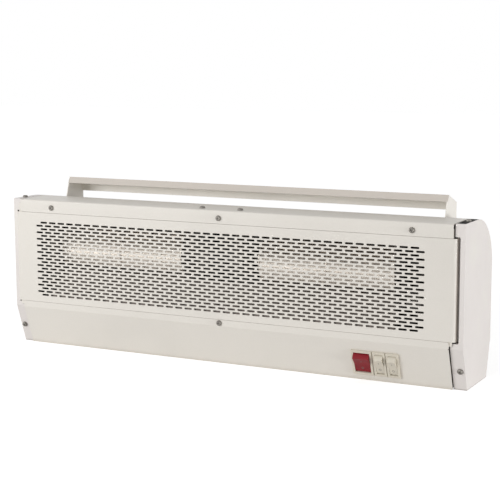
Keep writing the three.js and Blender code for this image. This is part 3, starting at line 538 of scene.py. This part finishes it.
def finished(name, node, edge, segments=2, finish=None):
    """A piece with its real soft edges in place of the sharp-edged node."""
    slot = slot_of[node]
    piece = to_object(name, copy_of(node), finish or FINISHES[slot], replaces=[node])
    soften(piece, edge, segments)
    return piece


finished("casing", "casing_shell", edge=0.3)
apron = finished("switch_apron", "apron", edge=0.35)
for end, way, relief in zip(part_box("apron"), (1, -1), APRON_RELIEF):
    for vert in apron.data.vertices:
        if abs(vert.co.x - end.x) < APRON_END * MM:
            vert.co.x += way * relief * MM
finished("outlet_panel", "outlet_grille", edge=0.3)
# The bar's lip and top get the darker copy of the paint as painted shade, and its other faces the
# lighter copy as painted light
bar = finished("wall_bar", "hanging_bar", edge=0.5, finish=BAR_PAINT_PAINTED_SHADE)
bar.data.materials.append(BAR_PAINT_PAINTED_LIGHT)
for face in bar.data.polygons:
    face.material_index = int(face.normal.z < BAR_UPPER_SHARE)
finished("cable_pad", "cable_seal", edge=0.4)
for side in ("left", "right"):
    finished(f"cap_{side}", f"end_cap_{side}", edge=0.7, segments=3)
    finished(f"fan_wall_{side}", f"bulkhead_{side}", edge=0.2)
    finished(f"cover_plate_{side}", f"end_plate_{side}", edge=0.2)
finished("duct_back", "scroll_casing", edge=0.2)
finished("duct_nose", "duct_tongue", edge=0.2)
finished("heater_bracket", "element_support", edge=0.2)
finished("motor_cradle", "motor_mount", edge=0.25)
finished("wiring_block", "terminal_block", edge=0.5)
finished("thermal_switch", "thermal_cutout", edge=0.3)

# ------------------------------------------------------------------ fan wheels and heating rods


def band(inner, outer, start, end):
    """A ring's profile, as spun takes it."""
    return [(inner, start), (outer, start), (outer, end), (inner, end)]


def spun(bm, profile, centre, direction=(1, 0, 0), steps=ROUND_STEPS):
    """A closed profile of (radius, distance along the axis) turned once about the axis."""
    before = set(bm.verts)
    verts, edges = closed_loop(bm, [(radius, 0, along) for radius, along in profile])
    bmesh.ops.spin(bm, geom=verts + edges, cent=(0, 0, 0), axis=UP,
                   angle=math.radians(360), steps=steps, use_merge=True)
    made = [vert for vert in bm.verts if vert not in before]
    bmesh.ops.remove_doubles(bm, verts=made, dist=TURNED_JOIN)
    made = [vert for vert in bm.verts if vert not in before]
    turn = UP.rotation_difference(Vector(direction)).to_matrix().to_4x4()
    bmesh.ops.transform(bm, matrix=Matrix.Translation(centre) @ turn, verts=made)


def fan_wheel(name, node):
    """A cross-flow wheel: curved blades all round, carried by three discs on the shaft."""
    low, high = (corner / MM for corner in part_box(node))
    centre_y, centre_z = (low.y + high.y) / 2, (low.z + high.z) / 2
    outer = (high.z - low.z) / 2
    span = high.x - low.x - DISC_SHEET
    tip_z = centre_z + outer - TIP_INSET
    lean = math.radians(90 - BLADE_TIP_ANGLE)
    pivot = (0, centre_y - BLADE_ARC_RADIUS * math.cos(lean),
             tip_z - BLADE_ARC_RADIUS * math.sin(lean))
    bm = bmesh.new()
    tip = bm.verts.new((low.x + DISC_SHEET / 2, centre_y, tip_z))
    bmesh.ops.spin(bm, geom=[tip], cent=pivot, axis=(1, 0, 0),
                   angle=-math.radians(BLADE_ARC), steps=BLADE_ARC_STEPS)
    strip = bmesh.ops.extrude_edge_only(bm, edges=bm.edges)
    bmesh.ops.translate(bm, verts=verts_in(strip["geom"]), vec=(span, 0, 0))
    bmesh.ops.solidify(bm, geom=bm.faces, thickness=BLADE_SHEET)
    bmesh.ops.spin(bm, geom=bm.verts[:] + bm.edges[:] + bm.faces[:],
                   cent=(0, centre_y, centre_z), axis=(1, 0, 0),
                   angle=math.radians(360) * (BLADES - 1) / BLADES, steps=BLADES - 1,
                   use_duplicate=True)
    for i in range(WHEEL_DISCS):
        x = low.x + span * i / (WHEEL_DISCS - 1)
        spun(bm, band(SHAFT_RADIUS, outer, 0, DISC_SHEET), (x, centre_y, centre_z))
    for x in (low.x + DISC_SHEET + HUB_GAP, high.x - DISC_SHEET - HUB_GAP - HUB_LENGTH):
        spun(bm, band(SHAFT_RADIUS, HUB_RADIUS, 0, HUB_LENGTH), (x, centre_y, centre_z),
             steps=SMALL_ROUND_STEPS)
    piece = to_object(name, outwards(bm), FINISHES["aluminium"], "rotor", [node])
    weight_normals(piece)


def heater(name, node):
    """A sheathed heating rod bent back on itself."""
    low, high = (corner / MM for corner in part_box(node))
    radius = (high.y - low.y) / 2
    bend = (high.z - low.z) / 2 - radius
    y, z = (low.y + high.y) / 2, low.z + radius
    near = low.x + radius + bend
    bm = bmesh.new()
    end = Matrix.Translation((high.x, y, z)) @ Matrix.Rotation(math.radians(90), 4, "Y")
    bmesh.ops.create_circle(bm, cap_ends=False, segments=ROD_SIDES, radius=radius, matrix=end)
    start = bm.edges[:]
    straight = bmesh.ops.extrude_edge_only(bm, edges=start)["geom"]
    bmesh.ops.translate(bm, verts=verts_in(straight), vec=(near - high.x, 0, 0))
    curve = bmesh.ops.spin(bm, geom=edges_in(straight), cent=(near, y, z + bend),
                           axis=(0, 1, 0), angle=math.radians(180), steps=ROD_BEND_STEPS)
    back = bmesh.ops.extrude_edge_only(bm, edges=edges_in(curve["geom_last"]))["geom"]
    bmesh.ops.translate(bm, verts=verts_in(back), vec=(high.x - near, 0, 0))
    bmesh.ops.holes_fill(bm, edges=start + edges_in(back), sides=0)
    to_object(name, outwards(bm), FINISHES["element"], replaces=[node])


fan_wheel("fan_wheel_left", "impeller_left")
fan_wheel("fan_wheel_right", "impeller_right")
heater("heater_front", "heating_element_front")
heater("heater_rear", "heating_element_rear")

# ------------------------------------------------------------------ screws


def screw_head(bm):
    """A pan head round the Z axis, its seat at zero, with a cross recess."""
    verts = [bm.verts.new((share * HEAD_RADIUS, 0, rise)) for share, rise in HEAD_PROFILE]
    edges = [bm.edges.new(pair) for pair in zip(verts, verts[1:])]
    bmesh.ops.spin(bm, geom=verts + edges, cent=(0, 0, 0), axis=UP,
                   angle=math.radians(360), steps=SMALL_ROUND_STEPS, use_merge=True)
    bmesh.ops.remove_doubles(bm, verts=bm.verts, dist=TURNED_JOIN)
    rims = [edge for edge in bm.edges if edge.is_boundary]
    crown = [edge for edge in rims if edge.verts[0].co.z > HEAD_RISE - HEAD_EDGE_BAND]
    seat = [edge for edge in rims if edge.verts[0].co.z < HEAD_EDGE_BAND]
    bmesh.ops.holes_fill(bm, edges=seat, sides=0)
    arm = [(CROSS_REACH, -CROSS_HALF), (CROSS_REACH, CROSS_HALF), (CROSS_HALF, CROSS_HALF)]
    outline = []
    for quarter in range(4):
        turn = Matrix.Rotation(math.radians(90 * quarter), 2)
        outline += [(*(turn @ Vector(point)), HEAD_RISE) for point in arm]
    cross = closed_loop(bm, outline)[1]
    bmesh.ops.triangle_fill(bm, use_beauty=True, edges=crown + cross)
    recess = bmesh.ops.extrude_edge_only(bm, edges=cross)["geom"]
    floor = verts_in(recess)
    bmesh.ops.translate(bm, verts=floor, vec=(0, 0, -CROSS_DEPTH))
    bmesh.ops.scale(bm, verts=floor, vec=(CROSS_TAPER, CROSS_TAPER, 1))
    bmesh.ops.holes_fill(bm, edges=edges_in(recess), sides=0)
    return outwards(bm)


def head_place(node, facing):
    """Where a screw's head seats, from the top of its own solid."""
    across = facing.orthogonal().normalized()
    other = facing.cross(across)
    corners = [vert.co / MM for vert in frame["nodes"][node].data.vertices]
    top = max(corner.dot(facing) for corner in corners)
    crown = [corner for corner in corners if corner.dot(facing) > top - CROWN_BAND]
    middle = facing * (top - HEAD_RISE)
    for axis in (across, other):
        reach = [corner.dot(axis) for corner in crown]
        middle += axis * (min(reach) + max(reach)) / 2
    return middle


def screw(node, facing, turn):
    """A screw where the node's is and as long, its cross turned by some degrees."""
    bm = screw_head(bmesh.new())
    facing = facing.normalized()
    aim = UP.rotation_difference(facing).to_matrix().to_4x4()
    seat = head_place(node, facing)
    place = Matrix.Translation(seat) @ aim @ Matrix.Rotation(math.radians(turn), 4, "Z")
    bmesh.ops.transform(bm, matrix=place, verts=bm.verts)
    corners = [vert.co / MM for vert in frame["nodes"][node].data.vertices]
    shank = max((corner - seat).dot(-facing) for corner in corners)
    profile = [(0, 0), (SHANK_RADIUS, 0), (SHANK_RADIUS, shank - POINT_LENGTH),
               (POINT_RADIUS, shank), (0, shank)]
    spun(bm, profile, seat, -facing, steps=SHANK_STEPS)
    piece = to_object(f"{node}_cross_head", outwards(bm), FINISHES["steel"],
                      replaces=[node], smooth_angle=HEAD_SMOOTH_ANGLE)
    weight_normals(piece)


ACROSS_SLOPE = Vector((0, -math.cos(APRON_SLOPE), -math.sin(APRON_SLOPE)))
FACINGS = {
    "screw_band": FORWARD,
    "screw_apron": FORWARD,
    "screw_motor": UP,
    "screw_cap_top": UP,
    "screw_cap_low": ACROSS_SLOPE,
}
for number, node in enumerate(sorted(n for n in frame["nodes"] if n.startswith("screw_"))):
    if node.startswith("screw_bar"):
        tilt = math.radians(TAB_ANGLES[node[-1]])
        facing = Vector((0, math.cos(tilt), math.sin(tilt)))
    else:
        facing = next(way for start, way in FACINGS.items() if node.startswith(start))
    screw(node, facing, TURN_BETWEEN_SCREWS * number)

# ------------------------------------------------------------------ switches


def mark_shape(mark):
    """A flat dash or ring about the origin."""
    bm = bmesh.new()
    if mark == "dash":
        bmesh.ops.create_cube(bm, size=1, matrix=Matrix.Diagonal((*DASH, MARK_RISE * 2, 1)))
    else:
        spun(bm, band(*RING, -MARK_RISE, MARK_RISE), (0, 0, 0), UP, steps=SMALL_ROUND_STEPS)
    return bm


def rocker(name, node):
    """A rocker with soft edges, a dash on its upper half and a ring on the lower one. The body
    it rides has the node's name."""
    slot = slot_of[node]
    bm = copy_of(node)
    pads = sorted((face for face in bm.faces if face.normal.dot(ACROSS_SLOPE) > PAD_SHARE),
                  key=lambda face: -face.calc_area())[:2]
    pads.sort(key=lambda face: -face.calc_center_median().z)
    seats = [(face.calc_center_median().copy(), face.normal.copy()) for face in pads]
    piece = to_object(name, bm, FINISHES[slot], node, [node])
    soften(piece, ROCKER_EDGE, segments=3)
    for mark, (middle, normal) in zip(("dash", "ring"), seats):
        up = UP - normal * normal.z
        across = up.cross(normal)
        place = Matrix((across.normalized(), up.normalized(), normal)).transposed().to_4x4()
        place.translation = middle - normal * MARK_RISE / 2
        shape = mark_shape(mark)
        bmesh.ops.transform(shape, matrix=place, verts=shape.verts)
        printed = to_object(f"{name}_{mark}", outwards(shape), MARK_INK, node)
        weight_normals(printed)


for switch in ("main", "fan", "heat"):
    rocker(f"button_{switch}", f"rocker_{switch}")
    finished(f"bezel_{switch}", f"switch_body_{switch}", edge=0.4, segments=3)

# ------------------------------------------------------------------ camera and light

# Places and sizes are in metres, the sensor's width in mm
CAMERA_PLACE = (0.7433, -1.4214, 0.3758)
CAMERA_YAW, CAMERA_PITCH, CAMERA_ROLL = (math.radians(a) for a in (27.135, 8.570, -0.21))
FOCAL_PIXELS = 1335.6
FRAME_PIXELS = 500
SENSOR_WIDTH = 36.0

# The world and the floor: what they light with, and what shows of them as the background
ROOM_STRENGTH = 0.52
BACKGROUND_STRENGTH = 1.0
FLOOR_GREY = 0.8
FLOOR_GLOW = 0.57
FLOOR_REACH = 6

# Each softbox: name, place, target, size, watts
SOFTBOXES = (
    ("key", (-1.5, -2.0, 0.66), (0, 0, 0.1), (1.3, 0.8), 27),
    ("side", (2.0, -0.35, 0.06), (0.25, 0, 0.1), (0.5, 0.16), 14),
)


def add_camera():
    forward = Vector((-math.sin(CAMERA_YAW) * math.cos(CAMERA_PITCH),
                      math.cos(CAMERA_YAW) * math.cos(CAMERA_PITCH), -math.sin(CAMERA_PITCH)))
    right = Vector((math.cos(CAMERA_YAW), math.sin(CAMERA_YAW), 0))
    above = right.cross(forward)
    c, s = math.cos(CAMERA_ROLL), math.sin(CAMERA_ROLL)
    across, upward = c * right + s * above, c * above - s * right
    camera = bpy.data.objects.new("camera", bpy.data.cameras.new("camera"))
    camera.matrix_world = Matrix((across, upward, -forward)).transposed().to_4x4()
    camera.location = CAMERA_PLACE
    camera.data.sensor_width = SENSOR_WIDTH
    camera.data.lens = FOCAL_PIXELS * SENSOR_WIDTH / FRAME_PIXELS
    bpy.context.scene.collection.objects.link(camera)
    bpy.context.scene.camera = camera


def add_softbox(name, place, target, size, power):
    lamp = bpy.data.lights.new(name, "AREA")
    lamp.shape = "RECTANGLE"
    lamp.size, lamp.size_y = size
    lamp.energy = power
    light = bpy.data.objects.new(name, lamp)
    light.location = place
    light.rotation_euler = (Vector(target) - Vector(place)).to_track_quat("-Z", "Y").to_euler()
    bpy.context.scene.collection.objects.link(light)


def seen_directly(tree):
    """1 for rays that show the background: from the camera, a mirror or a clear piece."""
    path = tree.nodes.new("ShaderNodeLightPath")
    total = path.outputs["Is Camera Ray"]
    for name in ("Is Glossy Ray", "Is Transmission Ray"):
        node = tree.nodes.new("ShaderNodeMath")
        node.operation = "MAXIMUM"
        tree.links.new(total, node.inputs[0])
        tree.links.new(path.outputs[name], node.inputs[1])
        total = node.outputs[0]
    return total


def add_world():
    world = bpy.data.worlds.new("studio")
    bpy.context.scene.world = world
    world.use_nodes = True
    tree = world.node_tree
    background = tree.nodes["Background"]
    background.inputs["Color"].default_value = (*WHITE, 1)
    strength = to_range(tree, seen_directly(tree), ROOM_STRENGTH, BACKGROUND_STRENGTH, 0, 1)
    tree.links.new(strength, background.inputs["Strength"])


def add_floor():
    bm = bmesh.new()
    bmesh.ops.create_grid(bm, x_segments=1, y_segments=1, size=FLOOR_REACH)
    mesh = bpy.data.meshes.new("floor")
    bm.to_mesh(mesh)
    bm.free()
    floor = bpy.data.objects.new("floor", mesh)
    bpy.context.scene.collection.objects.link(floor)
    material = bpy.data.materials.new("floor")
    material.use_nodes = True
    tree = material.node_tree
    shader = tree.nodes["Principled BSDF"]
    shader.inputs["Base Color"].default_value = (FLOOR_GREY, FLOOR_GREY, FLOOR_GREY, 1)
    shader.inputs["Roughness"].default_value = 0.9
    shader.inputs["Specular IOR Level"].default_value = 0.1
    shader.inputs["Emission Color"].default_value = (*WHITE, 1)
    glow = to_range(tree, seen_directly(tree), 0, FLOOR_GLOW, 0, 1)
    tree.links.new(glow, shader.inputs["Emission Strength"])
    mesh.materials.append(material)


add_camera()
add_world()
add_floor()
for softbox in SOFTBOXES:
    add_softbox(*softbox)
bpy.context.scene.view_settings.view_transform = "Standard"
